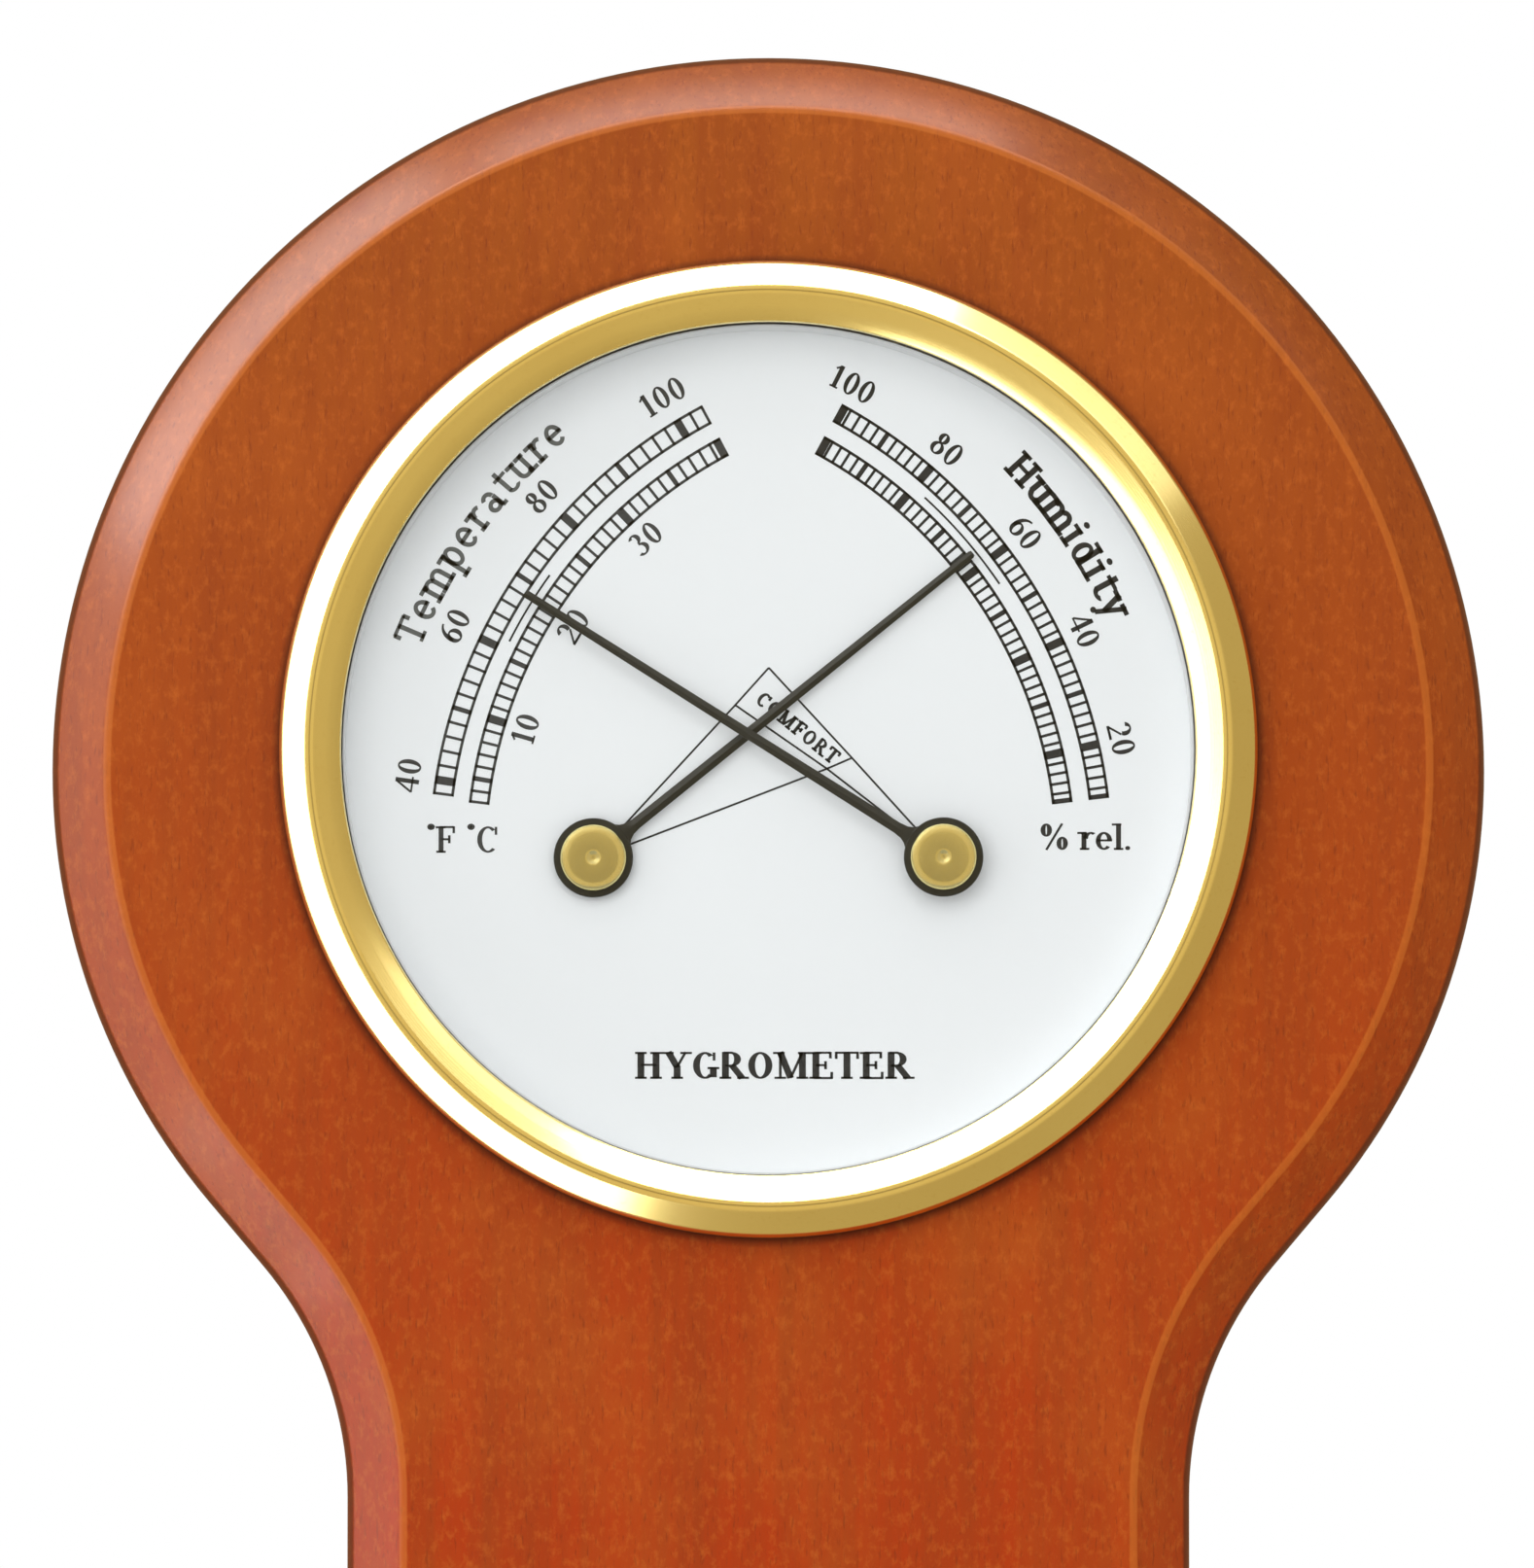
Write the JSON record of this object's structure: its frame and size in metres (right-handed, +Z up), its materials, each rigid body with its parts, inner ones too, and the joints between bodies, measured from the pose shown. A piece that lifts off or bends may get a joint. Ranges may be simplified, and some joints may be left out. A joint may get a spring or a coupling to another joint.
{
  "type": "dial hygrometer",
  "caption": "Wall-hung dial hygrometer and thermometer: two hands on a white dial under glass, brass bezel, set in a bevelled wooden plaque with a keyhole hanger.",
  "frame": {"origin": "centre of the hanger's round entry hole, on the hanger plate's outer face, which is flush with the plaque's back", "axes": "+Z up, +Y out of the back towards the wall, +X to the right seen from the front; the dial faces -Y"},
  "size_m": [0.1518, 0.0283, 0.182],
  "materials": {
    "plaque_wood": "satin lacquer over a cherry stain",
    "hanger_steel": "zinc plated",
    "screw_steel": "zinc plated",
    "bumper_felt": "pressed felt",
    "band_rubber": "matt",
    "case_steel": "zinc plated",
    "bezel_brass": "polished and lacquered",
    "lens_glass": "clear",
    "gasket_rubber": "matt",
    "ring_white": "matt white",
    "dial_white": "matt white, printed in black",
    "movement_brass": "plain",
    "arbor_steel": "polished",
    "washer_steel": "plain",
    "regulator_steel": "zinc plated",
    "bimetal_strip": "plain",
    "moisture_strip": "thin brass with a moisture-sensitive layer",
    "hand_black": "semi-gloss",
    "cap_brass": "brushed"
  },
  "bodies": {
    "plaque": {"plaque_board": "plaque_wood", "hanger_plate": "hanger_steel", "hanger_screws": "screw_steel", "wall_bumpers": "bumper_felt", "mounting_band": "band_rubber", "case_shell": "case_steel", "bezel_ring": "bezel_brass", "glass_lens": "lens_glass", "glass_gasket": "gasket_rubber", "dial_spacer_ring": "ring_white", "dial_plate": "dial_white", "temperature_bridge": "movement_brass", "temperature_bridge_screws": "screw_steel", "temperature_rear_bush": "movement_brass", "temperature_front_bush": "movement_brass", "temperature_friction_washer": "washer_steel", "humidity_bridge": "movement_brass", "humidity_bridge_screws": "screw_steel", "humidity_rear_bush": "movement_brass", "humidity_front_bush": "movement_brass", "humidity_friction_washer": "washer_steel"},
    "temperature_setting": {"temperature_regulator": "regulator_steel", "temperature_coil": "bimetal_strip"},
    "temperature_pointer": {"temperature_arbor": "arbor_steel", "temperature_collet": "movement_brass", "temperature_hand": "hand_black", "temperature_hand_cap": "cap_brass"},
    "humidity_setting": {"humidity_regulator": "regulator_steel", "humidity_coil": "moisture_strip"},
    "humidity_pointer": {"humidity_arbor": "arbor_steel", "humidity_collet": "movement_brass", "humidity_hand": "hand_black", "humidity_hand_cap": "cap_brass"}
  },
  "joints": [
    {"name": "temperature_set", "type": "hinge", "parent": "plaque", "child": "temperature_setting", "pos_m": [0.0185, 0, -0.0713], "axis": [0, -1, 0], "range_deg": [-4.5, 4.5]},
    {"name": "temperature_turn", "type": "hinge", "parent": "temperature_setting", "child": "temperature_pointer", "pos_m": [0.0185, 0, -0.0713], "axis": [0, -1, 0], "range_deg": [-29.8, 25.5], "stiffness_Nm_per_rad": 0.006, "deforming": ["temperature_coil"]},
    {"name": "humidity_set", "type": "hinge", "parent": "plaque", "child": "humidity_setting", "pos_m": [-0.0185, 0, -0.0713], "axis": [0, -1, 0], "range_deg": [-4.5, 4.5]},
    {"name": "humidity_turn", "type": "hinge", "parent": "humidity_setting", "child": "humidity_pointer", "pos_m": [-0.0185, 0, -0.0713], "axis": [0, -1, 0], "range_deg": [-32.1, 22.6], "stiffness_Nm_per_rad": 0.006, "deforming": ["humidity_coil"]}
  ]
}
